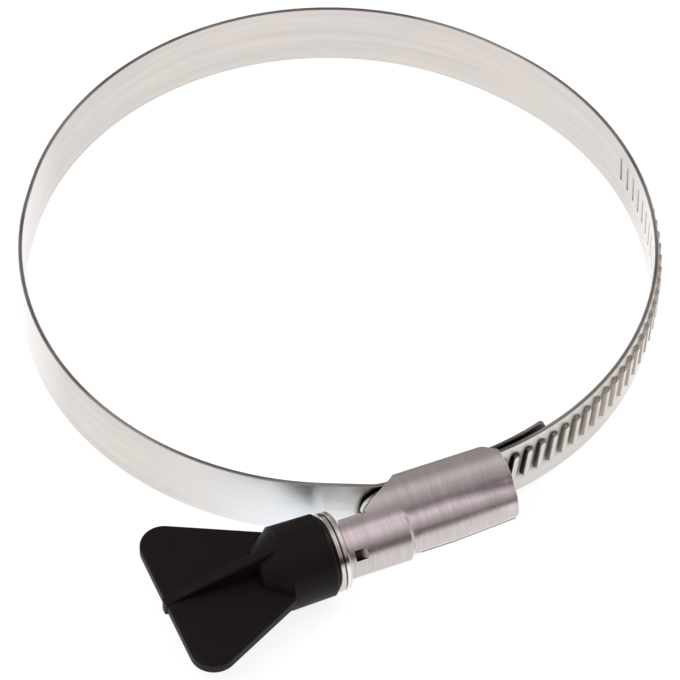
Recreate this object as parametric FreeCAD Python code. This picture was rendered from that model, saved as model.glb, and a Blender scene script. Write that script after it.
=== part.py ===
"""Wing grip worm drive hose clamp: strip, housing, worm screw and wing grip. Millimetres.

The origin is the centre of the hose circle at the middle of the strip's width. Z runs along
the hose. The housing lies on the -Y side, and the screw's axis runs along X with its head at -X.
"""
import FreeCAD, Part
import math
import os

V = FreeCAD.Vector
X_AXIS = V(1, 0, 0)
Y_AXIS = V(0, 1, 0)
Z_AXIS = V(0, 0, 1)

# Strip: one length of sheet steel, with the thread pressed out of its outer face
hose_radius = 50.0
strip_width = 12.0
strip_thickness = 0.65
layer_clearance = 0.3
edge_break = 0.15
true_arc_half = 56.0
straight_left = -13.0
straight_right = 1.5
left_bend_radius = 6.0
tail_bend_radius = 12.6
tail_end = -17.2
tail_corner_radius = 5.2
tongue_bend_start = 0.0
tongue_bend_radius = 48.0
tongue_end = 15.2
tongue_corner_radius = 2.0

# Thread ridges on the strip, each hollow at the back, and the worm that runs between them
pitch = 2.5
ridge_height = 0.65
ridge_width = 1.6
ridge_length = 6.4
ridge_flank = 24.0
ridge_edge = 0.15
ridge_rise = 0.9
hollow_depth = 0.45
hollow_width = 0.75
hollow_inset = 0.7
last_ridge_angle = 1.0
crest_gap = 0.1
crest_radius = 3.6
thread_height = 0.95
crest_width = 0.5
thread_flank = 24.0
thread_start = -16.05
thread_taper_start = -4.5
worm_tip = 3.6
tip_radius = 2.3

# Housing: one pressed sheet, folded round the strip and over the worm
housing_wall = 0.7
worm_clearance = 0.14
strip_side_clearance = 0.15
fold_radius = 1.0
cheek_radius = 5.2
cheek_margin = 0.1
flute_radius = 2.5
flap_reach = 4.6
neck_end = -22.8
neck_step = 0.7
shoulder_left = -12.6
shoulder_right = -11.9
barrel_taper_start = -4.5
barrel_taper = 0.5
housing_right = 5.4
end_slope = 0.5
mouth_corner = -12.2
mouth_corner_cut = 0.8
mouth_start = 0.9
mouth_drop = 5.0
neck_length = 4.2
right_corner_cut = 2.9
right_corner_drop = 2.0
panel_half_angle = 42.0
panel_depth = 0.22
panel_margin = 1.0
relief_radius = 0.4
dent_angle = 36.0
dent_width = 1.8
dent_length = 2.1
dent_depth = 1.2
dent_inset = 0.9

# Screw: collar, retaining groove and hexagonal head
collar_gap = 0.3
collar_thickness = 2.0
collar_radius = 6.3
collar_edge = 0.25
collar_groove_width = 0.35
collar_groove_depth = 0.25
shank_clearance = 0.2
shank_groove_clearance = 0.3
shank_groove_margin = 0.5
shank_shoulder_length = 1.2
head_across_flats = 7.0
head_length = 6.2
head_chamfer = 0.5
driver_slot_width = 1.2
driver_slot_depth = 1.8

# Wing grip: a plastic cap on the head, with two wings and a fin across them
grip_fit = 0.05
cap_gap = 0.1
cap_radius = 6.6
rim_radius = 6.75
cap_length = 7.6
cap_edge = 0.5
rim_edge = 0.35
nose_length = 4.0
nose_radius = 3.8
nose_edge = 1.2
grip_length = 26.3
wing_half_span = 16.4
wing_root_half = 7.0
wing_corner_radius = 3.8
wing_thickness = 2.4
wing_edge = 0.6
fin_thickness = 1.7
fin_edge = 0.4
fin_low = 1.25
fin_high = 6.4
fin_overhang = 0.3
socket_depth_margin = 0.3
wing_turn = 0.0

# Places that follow from the sizes above
half_width = strip_width / 2
fold_y = -hose_radius
fixed_y = fold_y - housing_wall
threaded_y = fixed_y - strip_thickness - layer_clearance
threaded_outer_y = threaded_y - strip_thickness
axis_y = threaded_outer_y - crest_gap - crest_radius
barrel_inner = crest_radius + worm_clearance
barrel_outer = barrel_inner + housing_wall
neck_drop = neck_step / 2
neck_outer = barrel_outer + neck_drop
neck_inner = neck_outer - housing_wall
cheek_z = half_width + strip_side_clearance + housing_wall
collar_right = neck_end - collar_gap
collar_left = collar_right - collar_thickness
cap_right = collar_left - cap_gap
cap_left = cap_right - cap_length
nose_left = cap_left - nose_length
grip_left = cap_right - grip_length
head_left = collar_left - head_length


def polar(centre, radius, degrees):
    """The point at an angle on a circle in the XY plane."""
    a = math.radians(degrees)
    return V(centre.x + radius * math.cos(a), centre.y + radius * math.sin(a), centre.z)


def arc(centre, radius, start, end):
    """An arc edge in the XY plane, from one angle to the other."""
    middle = (start + end) / 2
    points = [polar(centre, radius, a) for a in (start, middle, end)]
    return Part.Arc(*points).toShape()


def line(a, b):
    return Part.LineSegment(a, b).toShape()


def along_x(shape, x=0.0):
    """Turns a shape that was made along Z to lie along the screw's axis."""
    shape.rotate(V(0, 0, 0), Y_AXIS, 90)
    shape.translate(V(x, axis_y, 0))
    return shape


def tangent_angle(first, first_radius, second, second_radius):
    """The angle at which one straight line touches two circles that it passes on the same side."""
    span = second - first
    lean = math.degrees(math.acos((first_radius - second_radius) / span.Length))
    return math.degrees(math.atan2(span.y, span.x)) + lean


# The strip's path, given by its inner face: circles joined by straight runs that touch both
origin = V(0, 0, 0)
right_angle = 90 - true_arc_half
rise = math.sin(math.radians(right_angle))
run = math.cos(math.radians(right_angle))
side_radius = (hose_radius - straight_right * run - threaded_y * rise) / (1 + rise)
right_side = V(straight_right, threaded_y + side_radius, 0)
left_side = V(-right_side.x, right_side.y, 0)
left_bend = V(straight_left, fixed_y + left_bend_radius, 0)
left_bend_angle = tangent_angle(left_bend, left_bend_radius, left_side, side_radius) - 360
tail_bend = V(straight_left, threaded_y + tail_bend_radius, 0)
tongue_bend = V(tongue_bend_start, fixed_y + tongue_bend_radius, 0)


def tongue_angle(reach):
    return -90 + math.degrees(math.asin((reach - tongue_bend_start) / tongue_bend_radius))


def tail_angle(reach):
    return -90 - math.degrees(math.asin((straight_left - reach) / tail_bend_radius))


def strip_edges(offset):
    """One face of the strip seen along Z, a given distance outside its inner face."""
    o = offset
    low = right_angle
    high = 180 - right_angle
    return [
        arc(tongue_bend, tongue_bend_radius + o, tongue_angle(tongue_end), -90),
        line(V(tongue_bend_start, fixed_y - o, 0), V(straight_left, fixed_y - o, 0)),
        arc(left_bend, left_bend_radius + o, -90, left_bend_angle),
        line(polar(left_bend, left_bend_radius + o, left_bend_angle),
             polar(left_side, side_radius + o, left_bend_angle)),
        arc(left_side, side_radius + o, left_bend_angle, high - 360),
        line(polar(left_side, side_radius + o, high), polar(origin, hose_radius + o, high)),
        arc(origin, hose_radius + o, high, low),
        line(polar(origin, hose_radius + o, low), polar(right_side, side_radius + o, low)),
        arc(right_side, side_radius + o, low, -90),
        line(V(straight_right, threaded_y - o, 0), V(straight_left, threaded_y - o, 0)),
        arc(tail_bend, tail_bend_radius + o, -90, tail_angle(tail_end)),
    ]


def strip_blank():
    """The strip without its thread: its section seen along Z, drawn up to the strip's width."""
    inner = strip_edges(0.0)
    outer = strip_edges(strip_thickness)
    inner_start = polar(tongue_bend, tongue_bend_radius, tongue_angle(tongue_end))
    outer_start = polar(tongue_bend, tongue_bend_radius + strip_thickness, tongue_angle(tongue_end))
    inner_end = polar(tail_bend, tail_bend_radius, tail_angle(tail_end))
    outer_end = polar(tail_bend, tail_bend_radius + strip_thickness, tail_angle(tail_end))
    edges = inner + outer + [line(inner_start, outer_start), line(inner_end, outer_end)]
    section = Part.Face(Part.Wire(Part.__sortEdges__(edges)))
    blank = section.extrude(V(0, 0, strip_width))
    blank.translate(V(0, 0, -half_width))
    return blank


def corner_cutters(bend, radius, end_angle, end_x, inward, corner):
    """What rounding leaves off the two corners of a strip end, kept within that one layer."""
    slack = layer_clearance / 2
    over = 1.0
    reach = math.degrees((corner + over) / radius)
    start = min(end_angle - inward * over, end_angle + inward * reach)
    layer = Part.makeCylinder(radius + strip_thickness + slack, strip_width + 2 * over,
                              V(bend.x, bend.y, -half_width - over), Z_AXIS, reach + over)
    layer = layer.cut(Part.makeCylinder(radius - slack, strip_width + 2 * over,
                                        V(bend.x, bend.y, -half_width - over)))
    layer.rotate(bend, Z_AXIS, start)
    depth = 2 * radius
    cutters = []
    for side in (-1, 1):
        middle_z = side * (half_width - corner)
        square = Part.makeBox(2 * corner, depth, corner + over)
        square.translate(V(end_x - corner, bend.y - depth, 0))
        square.translate(V(0, 0, middle_z if side > 0 else middle_z - corner - over))
        rod = Part.makeCylinder(corner, depth, V(end_x + inward * corner, bend.y - depth, middle_z), Y_AXIS)
        cutters.append(square.cut(rod).common(layer))
    return cutters


def strip_place(s):
    """Point on the strip's outer face and outward angle, a distance s along it from x = 0."""
    middle = strip_thickness / 2
    if s < straight_left:
        angle = -90 - math.degrees((straight_left - s) / (tail_bend_radius + middle))
        return polar(tail_bend, tail_bend_radius + strip_thickness, angle), angle
    if s <= straight_right:
        return V(s, threaded_outer_y, 0), -90.0
    angle = -90 + math.degrees((s - straight_right) / (side_radius + middle))
    return polar(right_side, side_radius + strip_thickness, angle), angle


def slot_outline(width, length, y):
    """A narrow slot along Z in the plane at y, each end a half octagon."""
    r = width / 2
    end = [polar(V(0, 0, 0), r, angle) for angle in (0, 45, 90, 135, 180)]
    corners = [V(side * p.x, y, side * (length / 2 - r + p.y)) for side in (1, -1) for p in end]
    return Part.makePolygon(corners + corners[:1])


def ridge():
    """One thread ridge at the origin, standing up to -Y, with its edge broken."""
    sink = strip_thickness / 4
    slope = 2 * math.tan(math.radians(ridge_flank))
    side = ridge_height - ridge_edge
    rows = [(sink, slope * sink), (-side, -slope * side), (-ridge_height, -slope * side - 2 * ridge_edge)]
    outlines = [slot_outline(ridge_width + growth, ridge_length + growth, y) for y, growth in rows]
    return Part.makeLoft(outlines, True, True)


def hollow():
    """The back of one ridge, sunk into the strip's inner face."""
    over = strip_thickness / 4
    length = ridge_length - 2 * hollow_inset
    floor = strip_thickness - hollow_depth
    mouth = slot_outline(hollow_width, length, strip_thickness + over)
    bottom = slot_outline(hollow_width / 2, length - hollow_width / 2, floor)
    return Part.makeLoft([mouth, bottom], True, True)


def thread_places():
    """Points and outward angles of the ridges, in step with the gaps between the worm's turns."""
    s = thread_start + 3 * pitch / 4
    s += pitch * math.ceil((tail_end + tail_corner_radius / 2 - s) / pitch)
    places = []
    point, angle = strip_place(s)
    while angle < last_ridge_angle:
        places.append((point, angle))
        s += pitch
        point, angle = strip_place(s)
    return places


def along_thread(shape):
    """Copies of a shape at all the ridges, each leaning by the worm's lead."""
    shape.rotate(V(0, 0, 0), Y_AXIS, math.degrees(math.atan(pitch / (2 * math.pi * crest_radius))))
    shape.translate(V(0, 0, ridge_rise))
    copies = []
    for point, angle in thread_places():
        piece = shape.copy()
        piece.rotate(V(0, 0, 0), Z_AXIS, angle + 90)
        piece.translate(point)
        copies.append(piece)
    return copies


def band():
    """The strip: inner tongue, fixed stretch, ring, threaded stretch and tail."""
    blank = strip_blank()
    rims = [e for f in blank.Faces if abs(f.normalAt(0, 0).z) > 0.99 for e in f.Edges]
    blank = blank.makeChamfer(edge_break, rims)
    cutters = corner_cutters(tongue_bend, tongue_bend_radius, tongue_angle(tongue_end),
                             tongue_end, -1, tongue_corner_radius)
    cutters += corner_cutters(tail_bend, tail_bend_radius, tail_angle(tail_end),
                              tail_end, 1, tail_corner_radius)
    strip = blank.cut(cutters).fuse(along_thread(ridge()))
    return strip.cut(along_thread(hollow()))


def section_half(radius, drop, inset):
    """The sheet's upper half section in the YZ plane, as arcs and lines, a distance inside it.

    Its round outer side has a given radius and lies a given drop further out than the screw's axis.
    """
    w = inset
    fold = V(0, fold_y - fold_radius, cheek_z - fold_radius)
    cheek = V(0, threaded_outer_y - cheek_margin, cheek_z - cheek_radius)
    barrel = V(0, axis_y - drop, 0)
    span = barrel - cheek
    d = span.Length
    near = cheek_radius + flute_radius
    far = radius + flute_radius
    along = (near ** 2 - far ** 2 + d ** 2) / (2 * d)
    aside = math.sqrt(near ** 2 - along ** 2)
    u = span / d
    flute = cheek + u * along + V(0, u.z, -u.y) * aside

    def at(centre, r, towards):
        direction = (towards - centre)
        direction.normalize()
        return centre + direction * r

    def bend(centre, r, a, b):
        middle = at(centre, r, (a + b) * 0.5)
        return Part.Arc(a, middle, b).toShape()

    flap_z = half_width - flap_reach
    p1 = V(0, fold_y - w, flap_z)
    p2 = V(0, fold_y - w, fold.z)
    p3 = V(0, fold.y, cheek_z - w)
    p4 = V(0, cheek.y, cheek_z - w)
    p5 = at(cheek, cheek_radius - w, flute)
    p6 = at(barrel, radius - w, flute)
    p7 = V(0, barrel.y - radius + w, 0)
    fold_middle = at(fold, fold_radius - w, fold + V(0, 1, 1))
    cheek_middle = at(cheek, cheek_radius - w, cheek + (p5 - cheek) + V(0, 0, cheek_radius))
    flute_middle = at(flute, flute_radius + w, (p5 + p6) * 0.5)
    return [
        line(p1, p2),
        Part.Arc(p2, fold_middle, p3).toShape(),
        line(p3, p4),
        Part.Arc(p4, cheek_middle, p5).toShape(),
        Part.Arc(p5, flute_middle, p6).toShape(),
        bend(barrel, radius - w, p6, p7),
    ], p1


def housing_section(x, radius, drop):
    """The whole closed section of the sheet at x, for a round side of a given radius and drop."""
    outer, outer_tip = section_half(radius, drop, 0.0)
    inner, inner_tip = section_half(radius, drop, housing_wall)
    half = outer + inner + [line(outer_tip, inner_tip)]
    mirrored = [e.mirror(V(0, 0, 0), Z_AXIS) for e in half]
    wire = Part.Wire(Part.__sortEdges__(half + mirrored))
    wire.translate(V(x, 0, 0))
    return wire


def housing_shell():
    """The folded sheet along its length: neck, shoulder, barrel and tapered end."""
    stations = [
        (neck_end, neck_outer, neck_drop), (shoulder_left, neck_outer, neck_drop),
        (shoulder_right, barrel_outer, 0.0), (barrel_taper_start, barrel_outer, 0.0),
        (housing_right + end_slope, barrel_outer - barrel_taper, 0.0),
    ]
    return Part.makeLoft([housing_section(*station) for station in stations], True, True)


def prism(points):
    """A block right through the part along Z, over an outline in the XY plane."""
    height = 4 * cheek_z
    corners = [V(x, y, -height / 2) for x, y in points]
    return Part.Face(Part.makePolygon(corners + corners[:1])).extrude(V(0, 0, height))


def panel():
    """The shallow sunk field along the outer side of the barrel, following its taper."""
    x0 = shoulder_right + panel_margin
    r0 = barrel_outer - panel_depth
    r1 = r0 - barrel_taper
    x1 = housing_right + end_slope
    corners = [V(x0, -r0, 0), V(barrel_taper_start, -r0, 0), V(x1, -r1, 0),
               V(x1, -r0 - 1, 0), V(x0, -r0 - 1, 0)]
    outline = Part.Face(Part.makePolygon(corners + corners[:1]))
    outline.rotate(V(0, 0, 0), X_AXIS, -panel_half_angle)
    field = outline.revolve(V(0, 0, 0), X_AXIS, 2 * panel_half_angle)
    field.translate(V(0, axis_y, 0))
    return field


def dent_wedge(angle, lift):
    """The wedge of sheet that a pressed tab moves, at an angle from the outer side."""
    x0 = neck_end + dent_inset
    half = dent_width / 2
    top = neck_outer + lift
    low = neck_outer - dent_depth + lift
    points = [V(x0, -top, -half), V(x0, -low, -half), V(x0 + dent_length, -top, -half)]
    wedge = Part.Face(Part.makePolygon(points + points[:1])).extrude(V(0, 0, 2 * half))
    wedge.rotate(V(0, 0, 0), X_AXIS, -angle)
    wedge.translate(V(0, axis_y - neck_drop, 0))
    return wedge


def housing():
    """The shell with its mouth, neck and end cut free, its sunk panel and its retaining dents."""
    shell = housing_shell()
    left = neck_end - 1
    top = fold_y + 1
    neck_right = neck_end + neck_length
    neck_top = fold_y - mouth_drop
    mouth = prism([(mouth_corner + mouth_corner_cut, top), (mouth_corner + mouth_corner_cut, fold_y),
                   (mouth_corner, fold_y - mouth_start), (neck_right, neck_top), (left, neck_top),
                   (left, top)])
    right = housing_right + end_slope
    end = prism([(housing_right - right_corner_cut, top), (housing_right - right_corner_cut, fold_y),
                 (housing_right, fold_y - right_corner_drop), (right, axis_y), (right + 1, axis_y),
                 (right + 1, top)])
    inside = cheek_z - housing_wall
    flap_end = Part.makeBox(housing_right, fold_radius, 2 * inside,
                            V(tongue_bend_start, fold_y - fold_radius, -inside))
    relief = Part.makeCylinder(relief_radius, 4 * cheek_z, V(neck_right, neck_top, -2 * cheek_z))
    shell = shell.cut([mouth, end, flap_end, relief, panel()])
    for side in (-1, 1):
        tab = dent_wedge(side * dent_angle, -housing_wall)
        pocket = dent_wedge(side * dent_angle, 0.0)
        shell = shell.cut(pocket).fuse(tab)
    return shell.removeSplitter()


def worm_thread():
    """The helical thread, standing a little proud of its crest until it is trimmed."""
    root = crest_radius - thread_height
    sink = 0.2
    proud = 0.1
    flank = math.tan(math.radians(thread_flank))
    crest = crest_width / 2 - flank * proud
    foot = crest_width / 2 + flank * (thread_height + sink)
    corners = [V(root - sink, 0, -foot), V(crest_radius + proud, 0, -crest),
               V(crest_radius + proud, 0, crest), V(root - sink, 0, foot)]
    helix = Part.Wire(Part.makeLongHelix(pitch, worm_tip - thread_start + pitch, root))
    sweep = Part.BRepOffsetAPI.MakePipeShell(helix)
    sweep.setBiNormalMode(Z_AXIS)
    sweep.add(Part.makePolygon(corners + corners[:1]), False, False)
    sweep.build()
    sweep.makeSolid()
    return along_x(sweep.shape(), thread_start)


def turned(points):
    """A solid turned about the screw's axis from (x, radius) points."""
    corners = [V(x, r, 0) for x, r in points]
    solid = Part.Face(Part.makePolygon(corners + corners[:1])).revolve(V(0, 0, 0), X_AXIS, 360)
    solid.translate(V(0, axis_y, 0))
    return solid


def hexagon(across_flats, x0, x1):
    """A hexagonal bar on the screw's axis."""
    reach = across_flats / math.sqrt(3)
    corners = [polar(V(0, 0, 0), reach, 60 * i) for i in range(6)]
    bar = Part.Face(Part.makePolygon(corners + corners[:1])).extrude(V(0, 0, x1 - x0))
    return along_x(bar, x0)


def worm_screw():
    """Head, collar, shank with its retaining groove, and the worm."""
    root = crest_radius - thread_height
    shank = barrel_inner - shank_clearance
    dent_tip = polar(V(neck_drop, 0, 0), neck_inner - dent_depth, dent_angle)
    groove_radius = dent_tip.Length - shank_groove_clearance
    dent_left = neck_end + dent_inset
    groove_left = dent_left - shank_groove_margin
    groove_right = dent_left + dent_length + shank_groove_margin
    shoulder_end = groove_right + shank_shoulder_length
    e = collar_edge
    g = collar_groove_width / 2
    collar_middle = (collar_left + collar_right) / 2
    body = turned([
        (collar_left, 0), (collar_left, collar_radius - e), (collar_left + e, collar_radius),
        (collar_middle - g, collar_radius), (collar_middle, collar_radius - collar_groove_depth),
        (collar_middle + g, collar_radius),
        (collar_right - e, collar_radius), (collar_right, collar_radius - e), (collar_right, shank),
        (groove_left, shank), (groove_left, groove_radius), (groove_right, groove_radius),
        (groove_right, shank), (shoulder_end, shank), (shoulder_end, root),
        (thread_taper_start, root), (worm_tip, tip_radius), (worm_tip, 0),
    ])
    outline = turned([
        (shoulder_end, 0), (shoulder_end, root), (shoulder_end + thread_height, crest_radius),
        (thread_taper_start, crest_radius), (worm_tip, crest_radius - barrel_taper - thread_height / 2),
        (worm_tip, 0),
    ])
    head = hexagon(head_across_flats, head_left, collar_left)
    corner_radius = head_across_flats / math.sqrt(3)
    head = head.common(turned([
        (head_left, 0), (head_left, corner_radius - head_chamfer),
        (head_left + head_chamfer, corner_radius), (collar_left, corner_radius), (collar_left, 0),
    ]))
    slot = Part.makeBox(driver_slot_depth, 2 * corner_radius, driver_slot_width)
    slot.translate(V(head_left, axis_y - corner_radius, -driver_slot_width / 2))
    return body.fuse([worm_thread().common(outline), head.cut(slot)]).removeSplitter()


def wing_plate():
    """Both wings as one plate with rounded corners and edges, in the XY plane."""
    root_x = cap_left
    rows = [(grip_left, wing_half_span), (root_x, wing_root_half), (root_x, -wing_root_half),
            (grip_left, -wing_half_span)]
    corners = [V(x, y, -wing_thickness / 2) for x, y in rows]
    plate = Part.Face(Part.makePolygon(corners + corners[:1])).extrude(V(0, 0, wing_thickness))
    tips = [e for e in plate.Edges
            if abs(e.CenterOfMass.x - grip_left) < 0.01 and abs(e.tangentAt(e.FirstParameter).z) > 0.9]
    plate = plate.makeFillet(wing_corner_radius, tips)
    rims = [e for e in plate.Edges
            if abs(abs(e.CenterOfMass.z) - wing_thickness / 2) < 0.01 and e.CenterOfMass.x < root_x - 0.1]
    return plate.makeFillet(wing_edge, rims)


def fin():
    """The fin that crosses the wings, rising from the outer end to the cap."""
    left = grip_left - fin_overhang
    right = cap_left - rim_edge
    rows = [(left, -fin_low), (right, -fin_high), (right, fin_high), (left, fin_low)]
    corners = [V(x, -fin_thickness / 2, z) for x, z in rows]
    web = Part.Face(Part.makePolygon(corners + corners[:1])).extrude(V(0, fin_thickness, 0))
    rims = [e for e in web.Edges
            if abs(abs(e.CenterOfMass.y) - fin_thickness / 2) < 0.01 and e.CenterOfMass.x < right - 0.1]
    return web.makeFillet(fin_edge, rims)


def wing_grip():
    """Cap with a hexagonal socket, a short cone, the two wings and the fin."""
    cap = turned([
        (cap_right, 0), (cap_right, cap_radius - cap_edge), (cap_right - cap_edge, cap_radius),
        (cap_left, rim_radius), (cap_left - rim_edge, rim_radius - rim_edge),
        (nose_left, nose_radius), (nose_left, 0),
    ])
    nose = [e for e in cap.Edges if abs(e.CenterOfMass.x - nose_left) < 0.01 and e.Length > 1]
    cap = cap.makeFillet(nose_edge, nose)
    blades = wing_plate().fuse(fin())
    blades.translate(V(0, axis_y, 0))
    grip = cap.fuse(blades).removeSplitter()
    socket = hexagon(head_across_flats + 2 * grip_fit, head_left - socket_depth_margin, cap_right + 1)
    grip = grip.cut(socket)
    grip.rotate(V(0, axis_y, 0), X_AXIS, wing_turn)
    return grip


nodes = {
    "band": band(),
    "housing": housing(),
    "worm_screw": worm_screw(),
    "wing_grip": wing_grip(),
}

os.makedirs("parts", exist_ok=True)
for name, shape in nodes.items():
    solid = shape.Solids[0] if len(shape.Solids) == 1 else shape
    print(name, "solids", len(shape.Solids), "valid", shape.isValid(), "volume", round(shape.Volume, 1),
          "faces", len(shape.Faces))
    solid.exportStep("parts/" + name + ".step")
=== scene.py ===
"""Finishes the wing nut hose clamp: rolled strip, folded housing, turned screw and moulded wing grip.

Everything is in metres. The clamp lies on its edge: +Z is the hose's axis, the screw runs along X with
its grip on the left, and the housing stands towards -Y.
"""

from math import pi, radians

import bpy
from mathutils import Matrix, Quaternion, Vector


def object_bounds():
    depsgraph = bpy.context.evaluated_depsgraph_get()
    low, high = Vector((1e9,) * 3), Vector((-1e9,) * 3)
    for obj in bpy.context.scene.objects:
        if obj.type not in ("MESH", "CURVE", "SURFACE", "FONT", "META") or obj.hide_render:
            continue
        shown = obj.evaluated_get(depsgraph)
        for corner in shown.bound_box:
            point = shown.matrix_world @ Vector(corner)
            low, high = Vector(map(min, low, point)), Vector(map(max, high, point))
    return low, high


MM = 0.001

# The camera, as the photograph was taken
CAMERA_PLACE = Vector((-183.68, -406.61, 507.51)) * MM
CAMERA_AIM = Vector((-3.26, -10.71, -8.57)) * MM
CAMERA_ROLL = radians(1.949)
CAMERA_LENS = 219.18
CAMERA_FILM = 36.0

# Tones of the strip
STRIP_TONE = (0.73, 0.69, 0.655, 1)
STRIP_STREAK = (0.63, 0.595, 0.57, 1)
STRIP_BLUED = (0.68, 0.685, 0.70, 1)
# Painted reflection: the stretch behind the screw is painted brighter, bluish on its left and straw on
# its right
STRIP_PAINTED_REFLECTION_BLUE = (0.92, 0.96, 1.0, 1)
STRIP_PAINTED_REFLECTION_STRAW = (0.98, 0.95, 0.86, 1)
SLIT_EDGE_TONE = (0.45, 0.425, 0.415, 1)
SLIT_EDGE_DARK = (0.22, 0.20, 0.19, 1)
# Painted shade in the thread's valleys and on its flanks, darker still near the worm
VALLEY_SHADE_TONE = (0.38, 0.345, 0.30, 1)
DEEP_SHADE_TONE = (0.022, 0.016, 0.012, 1)

# Tones of the housing, the screw, the grip and the studio
HOUSING_TONE = (0.625, 0.59, 0.565, 1)
HOUSING_STREAK = (0.43, 0.395, 0.395, 1)
# Painted highlight: the pinkish bright band along the housing's barrel and on its convex edges
HOUSING_HIGHLIGHT = (0.88, 0.785, 0.805, 1)
# Painted shade in the housing's seams and tabs and in the screw's recesses
SEAM_SHADE_TONE = (0.04, 0.033, 0.03, 1)
SCREW_TONE = (0.92, 0.90, 0.85, 1)
SCREW_STREAK = (0.34, 0.31, 0.28, 1)
PLASTIC_TONE = (0.0096, 0.0062, 0.0055, 1)
PLASTIC_WORN = (0.026, 0.021, 0.020, 1)
FLOOR_TONE = (0.42, 0.42, 0.42, 1)
WHITE = (1, 1, 1, 1)

# Where each painted reflection, highlight and shade starts and where it is full, in millimetres along one
# axis
REFLECTION_FROM_LEFT = (-44, -27)
REFLECTION_FROM_RIGHT = (3, -5)
REFLECTION_TO_FRONT = (-20, -40)
STRAW_REFLECTION_TO_RIGHT = (-20, -12)
DEEP_SHADE_TO_LEFT = (27, 8)
FLANK_SHADE_TO_RIGHT = (5, 6)
HIGHLIGHT_FROM_CHEEK = (-54.9, -56.2)
HIGHLIGHT_FROM_CROWN = (-59.7, -58.9)
BARREL_TO_RIGHT = (-18.5, -17.5)
BARREL_TO_CROWN = (-56.4, -57.2)
TAB_SHADE_TO_LEFT = (-18.5, -19.3)

# The painted shade in the tabs pressed in from the neck: how far a point is from the neck's axis, in
# millimetres, and the move that brings this axis to Y 0
TAB_SHADE_DEPTH = (4.62, 4.25)
TO_NECK_AXIS = (0, 56.35 * MM, 0)

# How far outward a face of the strip looks: its normal times its place, in millimetres
OUTWARD = (-5, 5)

# How the grain of each piece is stretched along X, Y and Z
STRIP_GRAIN = (0.03, 0.03, 1.0)
STRIP_PATCHES = (1.0, 1.0, 0.6)
HOUSING_GRAIN = (1.0, 0.05, 0.05)
SCREW_GRAIN = (1.0, 0.02, 0.02)
EVEN_GRAIN = (1.0, 1.0, 1.0)

# The room from front wall over ceiling to back wall: degrees above the front floor line, and tone
ROOM = (
    (0, (0.86, 0.84, 0.80, 1)),
    (6, (0.78, 0.75, 0.72, 1)),
    (10, (0.36, 0.33, 0.32, 1)),
    (14, (0.07, 0.06, 0.06, 1)),
    (26, (0.07, 0.06, 0.06, 1)),
    (36, (0.34, 0.31, 0.315, 1)),
    (58, (0.50, 0.47, 0.48, 1)),
    (76, (0.80, 0.75, 0.77, 1)),
    (96, (0.90, 0.84, 0.85, 1)),
    (108, (0.66, 0.63, 0.61, 1)),
    (122, (0.40, 0.38, 0.37, 1)),
    (150, (0.38, 0.365, 0.355, 1)),
    (180, (0.45, 0.44, 0.43, 1)),
)

# The lamp, from the clamp's middle, and the floor, with what lifts it to white where it is seen
SOFTBOX_OFFSET = Vector((-0.55, 0.2, 1.0))
SOFTBOX_SIZE = (0.6, 0.5)
SOFTBOX_POWER = 1.5
FLOOR_REACH = 3.0
FLOOR_LIFT = 0.84


class Nodes:
    """Adds nodes to one node tree, and joins them as it goes."""

    def __init__(self, tree):
        self.tree = tree

    def put(self, kind, *inputs, **settings):
        """A node with these inputs, by order or by {name: value}, and these settings."""
        node = self.tree.nodes.new(kind)
        for name, value in settings.items():
            setattr(node, name, value)
        for place, value in enumerate(inputs):
            if isinstance(value, dict):
                for name, part in value.items():
                    self.join(part, node.inputs[name])
            elif value is not None:
                self.join(value, node.inputs[place])
        return node

    def join(self, value, socket):
        if isinstance(value, bpy.types.NodeSocket):
            self.tree.links.new(value, socket)
        else:
            socket.default_value = value

    def effect(self, group, **inputs):
        """The outputs of one of the shared effects below, with this material's own values."""
        node = self.tree.nodes.new("ShaderNodeGroup")
        node.node_tree = group
        for name, value in inputs.items():
            self.join(value, node.inputs[name])
        return node.outputs

    def math(self, how, *values):
        return self.put("ShaderNodeMath", *values, operation=how).outputs[0]

    def times(self, first, *others):
        for other in others:
            first = self.math("MULTIPLY", first, other)
        return first

    def vector(self, how, *values):
        return self.put("ShaderNodeVectorMath", *values, operation=how).outputs["Vector"]

    def measure(self, how, *values):
        """A number that is taken from vectors, such as their dot product or a length."""
        return self.put("ShaderNodeVectorMath", *values, operation=how).outputs["Value"]

    def split(self, vector):
        return self.put("ShaderNodeSeparateXYZ", vector).outputs

    def spread(self, value, low, high, to_low=0.0, to_high=1.0):
        """Maps low..high to to_low..to_high, and holds it there beyond."""
        return self.put("ShaderNodeMapRange", value, low, high, to_low, to_high).outputs[0]

    def fade(self, length, reach, to_low=0.0, to_high=1.0):
        """Maps a length to to_low..to_high over a reach that is given in millimetres."""
        start, full = reach
        return self.spread(length, start * MM, full * MM, to_low, to_high)

    def blend(self, factor, first, second):
        node = self.put("ShaderNodeMix", data_type="RGBA")
        self.join(factor, node.inputs["Factor"])
        self.join(first, node.inputs["A"])
        self.join(second, node.inputs["B"])
        return node.outputs["Result"]

    def noise(self, place, scale, detail):
        node = self.put("ShaderNodeTexNoise", {"Vector": place, "Scale": scale, "Detail": detail})
        return node.outputs["Fac"]

    def place(self):
        return self.put("ShaderNodeTexCoord").outputs["Object"]

    def stretched(self, stretch):
        """The piece's own place in millimetres, with each axis stretched by its own amount."""
        return self.vector("MULTIPLY", self.place(), [part / MM for part in stretch])

    def normal(self):
        return self.put("ShaderNodeNewGeometry").outputs["Normal"]

    def bump(self, height, depth):
        """A normal that follows a height of this depth in metres."""
        node = self.put("ShaderNodeBump", {"Height": height, "Strength": 1.0, "Distance": depth})
        return node.outputs["Normal"]

    def painted_sheen(self, start, full):
        """1 where the surface is seen nearly along itself: the mask of a painted sheen that turns metal
        of any tone bright.
        """
        facing = self.put("ShaderNodeLayerWeight", {"Blend": 0.5}).outputs["Facing"]
        return self.spread(facing, start, full)


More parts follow.
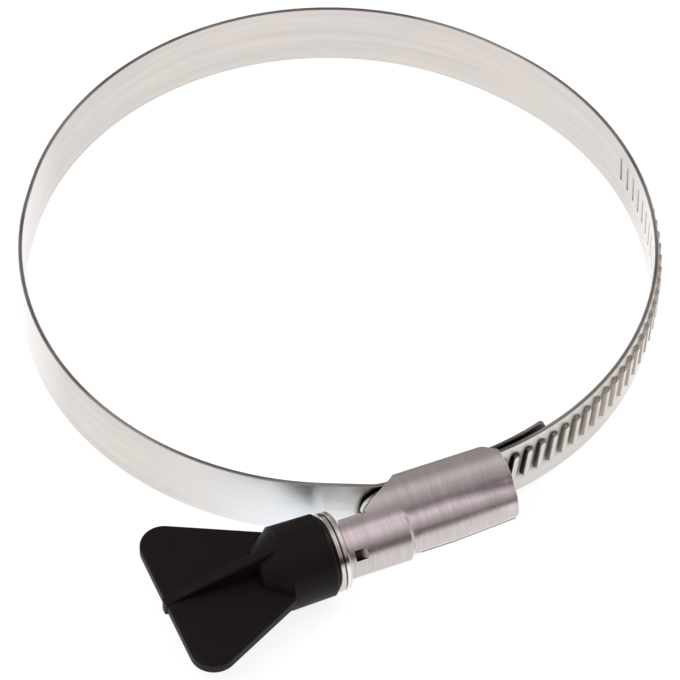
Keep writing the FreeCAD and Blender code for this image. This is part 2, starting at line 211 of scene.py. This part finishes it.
def new_effect(name, inputs, outputs):
    """An empty node group with named inputs and outputs, and the sockets inside it."""
    tree = bpy.data.node_groups.new(name, "ShaderNodeTree")
    for label, kind, value in inputs:
        socket = tree.interface.new_socket(label, in_out="INPUT", socket_type="NodeSocket" + kind)
        if value is not None:
            socket.default_value = value
    for label, kind in outputs:
        tree.interface.new_socket(label, in_out="OUTPUT", socket_type="NodeSocket" + kind)
    nodes = Nodes(tree)
    given = nodes.put("NodeGroupInput").outputs
    made = nodes.put("NodeGroupOutput").inputs
    return tree, nodes, given, made


def metal_grain():
    """Rolling or turning lines: fine scratches over broad streaks, for a place already stretched."""
    tree, nodes, given, made = new_effect(
        "metal_grain",
        [("Place", "Vector", None), ("Fine", "Float", 6.0), ("Broad", "Float", 0.8)],
        [("Scratches", "Float"), ("Streaks", "Float")],
    )
    fine = nodes.noise(given["Place"], given["Fine"], 3.0)
    broad = nodes.noise(given["Place"], given["Broad"], 2.0)
    nodes.join(nodes.spread(fine, 0.35, 0.68), made["Scratches"])
    nodes.join(nodes.spread(broad, 0.34, 0.66), made["Streaks"])
    return tree


def edge_wear_and_highlight():
    """The convex edges of a piece, where handling and pressing rub the plastic bright, and where a
    painted highlight brightens the housing.
    """
    tree, nodes, given, made = new_effect(
        "edge_wear_and_highlight",
        [("Width", "Float", 0.2 * MM), ("Sharpness", "Float", 0.25)],
        [("Edge", "Float")],
    )
    rounded = nodes.put("ShaderNodeBevel", {"Radius": given["Width"]}, samples=4).outputs[0]
    agree = nodes.measure("DOT_PRODUCT", rounded, nodes.normal())
    turned = nodes.math("SUBTRACT", 1.0, agree)
    nodes.join(nodes.spread(turned, 0.01, given["Sharpness"]), made["Edge"])
    return tree


def painted_recess_shade():
    """Narrow recesses, slots and seams, where little light gets in and painted shade darkens them."""
    tree, nodes, given, made = new_effect(
        "painted_recess_shade",
        [("Reach", "Float", 1.0 * MM), ("Open", "Float", 0.75), ("Closed", "Float", 0.35)],
        [("Shade", "Float")],
    )
    reach = {"Distance": given["Reach"]}
    shade = nodes.put("ShaderNodeAmbientOcclusion", reach, samples=8, only_local=True)
    nodes.join(nodes.spread(shade.outputs["AO"], given["Open"], given["Closed"]), made["Shade"])
    return tree


def new_material(name):
    material = bpy.data.materials.new(name)
    material.use_nodes = True
    material.node_tree.nodes.clear()
    nodes = Nodes(material.node_tree)
    return material, nodes


def close_material(nodes, shader):
    out = nodes.put("ShaderNodeOutputMaterial")
    nodes.join(shader.outputs[0], out.inputs["Surface"])


def metal(nodes, tone, roughness, normal):
    inputs = {"Base Color": tone, "Metallic": 1.0, "Roughness": roughness, "Normal": normal}
    return nodes.put("ShaderNodeBsdfPrincipled", inputs)


def rolled_strip(effects):
    """Stainless strip: grain along its length, dark slit edges, a painted reflection on the stretch
    behind the screw, and a thread with painted shade in its valleys and on its flanks, darkest near the
    worm."""
    material, nodes = new_material("rolled_strip")
    place, facing = nodes.place(), nodes.normal()
    spot = nodes.split(place)
    outer = nodes.fade(nodes.measure("DOT_PRODUCT", facing, place), OUTWARD)

    # The sheet as it is rolled
    grain = nodes.effect(effects["grain"], Place=nodes.stretched(STRIP_GRAIN), Fine=5.0, Broad=0.7)
    patches = nodes.noise(nodes.stretched(STRIP_PATCHES), 0.07, 2.0)
    tone = nodes.blend(nodes.spread(patches, 0.5, 0.7, 0, 0.5), STRIP_TONE, STRIP_BLUED)
    tone = nodes.blend(nodes.times(grain["Streaks"], 0.7), tone, STRIP_STREAK)
    tone = nodes.blend(nodes.times(grain["Scratches"], 0.25), tone, STRIP_STREAK)

    # Painted reflection on the stretch behind the screw, blue on its left and straw on its right
    painted_reflection = nodes.times(
        nodes.fade(spot["X"], REFLECTION_FROM_LEFT),
        outer,
        nodes.fade(spot["X"], REFLECTION_FROM_RIGHT),
        nodes.fade(spot["Y"], REFLECTION_TO_FRONT),
    )
    reflection_warmth = nodes.math("ADD", nodes.fade(spot["X"], STRAW_REFLECTION_TO_RIGHT, -0.4, 0.6), patches)
    sheen = nodes.blend(nodes.spread(reflection_warmth, 0, 1), STRIP_PAINTED_REFLECTION_BLUE, STRIP_PAINTED_REFLECTION_STRAW)
    tone = nodes.blend(painted_reflection, tone, sheen)
    # Painted sheen: metal seen nearly along itself is painted towards white
    tone = nodes.blend(nodes.painted_sheen(0.68, 0.96), tone, WHITE)

    # The slit edges
    upright = nodes.math("ABSOLUTE", nodes.split(facing)["Z"])
    edge_tone = nodes.blend(nodes.spread(patches, 0.4, 0.62), SLIT_EDGE_TONE, SLIT_EDGE_DARK)
    tone = nodes.blend(nodes.spread(upright, 0.55, 0.8), tone, edge_tone)

    # Painted shade on the thread: in its valleys and on the flanks that lean along the strip, darkest
    # near the worm
    valley_shade = nodes.effect(effects["recess_shade"], Reach=1.3 * MM, Open=0.96, Closed=0.78)["Shade"]
    along = nodes.vector("NORMALIZE", nodes.vector("CROSS_PRODUCT", place, (0, 0, 1)))
    leaning = nodes.math("ABSOLUTE", nodes.measure("DOT_PRODUCT", facing, along))
    flank_shade = nodes.times(nodes.spread(leaning, 0.35, 0.7, 0, 0.9), nodes.fade(spot["X"], FLANK_SHADE_TO_RIGHT))
    thread_shade = nodes.math("MAXIMUM", valley_shade, flank_shade)
    thread_shade = nodes.times(thread_shade, nodes.math("MULTIPLY_ADD", outer, 0.65, 0.35))
    thread_shade_tone = nodes.blend(nodes.fade(spot["X"], DEEP_SHADE_TO_LEFT), VALLEY_SHADE_TONE, DEEP_SHADE_TONE)
    tone = nodes.blend(thread_shade, tone, thread_shade_tone)

    rough = nodes.spread(grain["Scratches"], 0, 1, 0.30, 0.40)
    close_material(nodes, metal(nodes, tone, rough, nodes.bump(grain["Scratches"], 0.002 * MM)))
    return material


def pressed_housing(effects):
    """The folded sheet: grain across the fold, a painted highlight along its barrel and on its edges, and
    painted shade in its seams and tabs.
    """
    material, nodes = new_material("pressed_housing")
    place = nodes.place()
    spot = nodes.split(place)

    # The sheet as it is pressed, with a painted highlight along its barrel
    grain = nodes.effect(effects["grain"], Place=nodes.stretched(HOUSING_GRAIN), Fine=5.0, Broad=0.9)
    highlight_from_cheek = nodes.fade(spot["Y"], HIGHLIGHT_FROM_CHEEK)
    barrel_highlight = nodes.times(highlight_from_cheek, nodes.fade(spot["Y"], HIGHLIGHT_FROM_CROWN))
    tone = nodes.blend(barrel_highlight, HOUSING_TONE, HOUSING_HIGHLIGHT)
    tone = nodes.blend(nodes.times(grain["Streaks"], 0.25), tone, HOUSING_STREAK)
    tone = nodes.blend(nodes.times(grain["Scratches"], 0.25), tone, HOUSING_STREAK)
    # Painted sheen: metal seen nearly along itself is painted towards white
    tone = nodes.blend(nodes.painted_sheen(0.7, 0.97), tone, WHITE)

    # Painted shade in the seams, apart from the open barrel with its shallow panel
    recess_shade = nodes.effect(effects["recess_shade"], Reach=2.5 * MM, Open=0.84, Closed=0.64)["Shade"]
    barrel = nodes.times(nodes.fade(spot["X"], BARREL_TO_RIGHT), nodes.fade(spot["Y"], BARREL_TO_CROWN))
    tone = nodes.blend(nodes.times(recess_shade, nodes.math("SUBTRACT", 1.0, barrel)), tone, SEAM_SHADE_TONE)

    # Painted highlight on the convex edges, which are also made smoother
    edge = nodes.effect(effects["edge"], Width=0.25 * MM, Sharpness=0.12)["Edge"]
    tone = nodes.blend(nodes.times(edge, 0.7), tone, HOUSING_HIGHLIGHT)

    # Painted shade in the tabs that are pressed in from the neck
    radius = nodes.measure("LENGTH", nodes.vector("MULTIPLY_ADD", place, (0, 1, 1), TO_NECK_AXIS))
    tab_shade = nodes.times(nodes.fade(radius, TAB_SHADE_DEPTH, 0, 0.92), nodes.fade(spot["X"], TAB_SHADE_TO_LEFT))
    tone = nodes.blend(tab_shade, tone, SEAM_SHADE_TONE)

    rough = nodes.math("SUBTRACT", nodes.spread(grain["Scratches"], 0, 1, 0.27, 0.37), edge)
    rough = nodes.math("MAXIMUM", rough, 0.2)
    close_material(nodes, metal(nodes, tone, rough, nodes.bump(grain["Scratches"], 0.0015 * MM)))
    return material


def turned_screw(effects):
    """Turned and rolled steel: fine rings round the screw's axis, brighter than the sheet."""
    material, nodes = new_material("turned_screw")
    grain = nodes.effect(effects["grain"], Place=nodes.stretched(SCREW_GRAIN), Fine=7.0, Broad=1.2)
    tone = nodes.blend(nodes.times(grain["Streaks"], 0.8), SCREW_TONE, SCREW_STREAK)
    # Painted shade in the screw's recesses
    recess_shade = nodes.effect(effects["recess_shade"], Reach=0.8 * MM, Open=0.8, Closed=0.3)["Shade"]
    tone = nodes.blend(recess_shade, tone, SEAM_SHADE_TONE)
    rough = nodes.spread(grain["Scratches"], 0, 1, 0.09, 0.16)
    close_material(nodes, metal(nodes, tone, rough, nodes.bump(grain["Scratches"], 0.002 * MM)))
    return material


def moulded_plastic(effects):
    """Black plastic from a spark-finished mould, a little rubbed along its edges."""
    material, nodes = new_material("moulded_plastic")
    place = nodes.stretched(EVEN_GRAIN)
    pits = nodes.noise(place, 5.0, 3.0)
    scuffs = nodes.spread(nodes.noise(place, 0.35, 4.0), 0.45, 0.75)
    edge = nodes.effect(effects["edge"], Width=0.3 * MM, Sharpness=0.4)["Edge"]
    worn = nodes.times(edge, nodes.math("MULTIPLY_ADD", scuffs, 0.6, 0.2))
    shader = nodes.put(
        "ShaderNodeBsdfPrincipled",
        {
            "Base Color": nodes.blend(worn, PLASTIC_TONE, PLASTIC_WORN),
            "Roughness": nodes.math("MULTIPLY_ADD", scuffs, 0.08, 0.5),
            "Specular IOR Level": 0.16,
            "Normal": nodes.bump(pits, 0.012 * MM),
        },
    )
    close_material(nodes, shader)
    return material


def white_floor():
    """A matt floor that shows white, also in metal and glass, and keeps the clamp's shadow."""
    material, nodes = new_material("white_floor")
    ray = nodes.put("ShaderNodeLightPath").outputs
    seen = nodes.math("MAXIMUM", ray["Is Camera Ray"], ray["Is Glossy Ray"])
    seen = nodes.math("MAXIMUM", seen, ray["Is Transmission Ray"])
    paint = nodes.put("ShaderNodeBsdfDiffuse", {"Color": FLOOR_TONE})
    lift = nodes.put("ShaderNodeEmission", {"Color": WHITE, "Strength": nodes.times(seen, FLOOR_LIFT)})
    close_material(nodes, nodes.put("ShaderNodeAddShader", paint.outputs[0], lift.outputs[0]))
    return material


def floor(low):
    """A sheet under the clamp, far wider than the view."""
    wide = FLOOR_REACH
    corners = [(-wide, -wide, low), (wide, -wide, low), (wide, wide, low), (-wide, wide, low)]
    mesh = bpy.data.meshes.new("floor")
    mesh.from_pydata(corners, [], [(0, 1, 2, 3)])
    mesh.materials.append(white_floor())
    sheet = bpy.data.objects.new("floor", mesh)
    bpy.context.scene.collection.objects.link(sheet)


def softbox(name, place, aim):
    """A rectangular lamp at place that faces aim."""
    lamp = bpy.data.lights.new(name, "AREA")
    lamp.shape = "RECTANGLE"
    lamp.size, lamp.size_y = SOFTBOX_SIZE
    lamp.energy = SOFTBOX_POWER
    box = bpy.data.objects.new(name, lamp)
    box.location = place
    box.rotation_mode = "QUATERNION"
    box.rotation_quaternion = (aim - place).to_track_quat("-Z", "Y")
    bpy.context.scene.collection.objects.link(box)


def studio():
    """The room round the clamp: white to the camera, and graded over its ceiling for the rest."""
    world = bpy.data.worlds.new("studio")
    world.use_nodes = True
    world.node_tree.nodes.clear()
    nodes = Nodes(world.node_tree)
    way = nodes.split(nodes.put("ShaderNodeTexCoord").outputs["Generated"])
    turn = nodes.math("ARCTAN2", way["Z"], nodes.times(way["Y"], -1.0))
    wall = nodes.put("ShaderNodeValToRGB", nodes.math("DIVIDE", turn, pi))
    stops = wall.color_ramp.elements
    stops.remove(stops[1])
    for angle, tone in ROOM:
        stop = stops[0] if angle == 0 else stops.new(angle / 180)
        stop.color = tone
    room = nodes.put("ShaderNodeBackground", {"Color": wall.outputs[0], "Strength": 1.0})
    white = nodes.put("ShaderNodeBackground", {"Color": WHITE, "Strength": 1.0})
    seen = nodes.put("ShaderNodeLightPath").outputs["Is Camera Ray"]
    both = nodes.put("ShaderNodeMixShader", seen, room.outputs[0], white.outputs[0])
    out = nodes.put("ShaderNodeOutputWorld")
    nodes.join(both.outputs[0], out.inputs["Surface"])
    bpy.context.scene.world = world


def camera():
    data = bpy.data.cameras.new("camera")
    data.sensor_width = CAMERA_FILM
    data.lens = CAMERA_LENS
    data.clip_start, data.clip_end = 0.01, 20
    eye = bpy.data.objects.new("camera", data)
    eye.location = CAMERA_PLACE
    eye.rotation_mode = "QUATERNION"
    level = (CAMERA_AIM - CAMERA_PLACE).to_track_quat("-Z", "Y")
    eye.rotation_quaternion = level @ Quaternion((0, 0, 1), CAMERA_ROLL)
    bpy.context.scene.collection.objects.link(eye)
    bpy.context.scene.camera = eye


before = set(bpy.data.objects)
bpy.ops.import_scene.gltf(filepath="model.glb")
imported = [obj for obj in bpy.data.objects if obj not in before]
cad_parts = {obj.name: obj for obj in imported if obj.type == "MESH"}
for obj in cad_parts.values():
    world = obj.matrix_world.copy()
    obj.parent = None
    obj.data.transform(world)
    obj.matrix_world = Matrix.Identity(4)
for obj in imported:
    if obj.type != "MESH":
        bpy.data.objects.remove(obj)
cad_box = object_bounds()

effects = {"grain": metal_grain(), "edge": edge_wear_and_highlight(), "recess_shade": painted_recess_shade()}
finishes = {
    "band": rolled_strip(effects),
    "housing": pressed_housing(effects),
    "worm_screw": turned_screw(effects),
    "wing_grip": moulded_plastic(effects),
}
for node, finish in finishes.items():
    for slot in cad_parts[node].material_slots:
        slot.material = finish

floor(cad_box[0].z)
middle = (cad_box[0] + cad_box[1]) / 2
softbox("ceiling_softbox", middle + SOFTBOX_OFFSET, middle)
studio()
camera()
bpy.context.scene.view_settings.view_transform = "Standard"
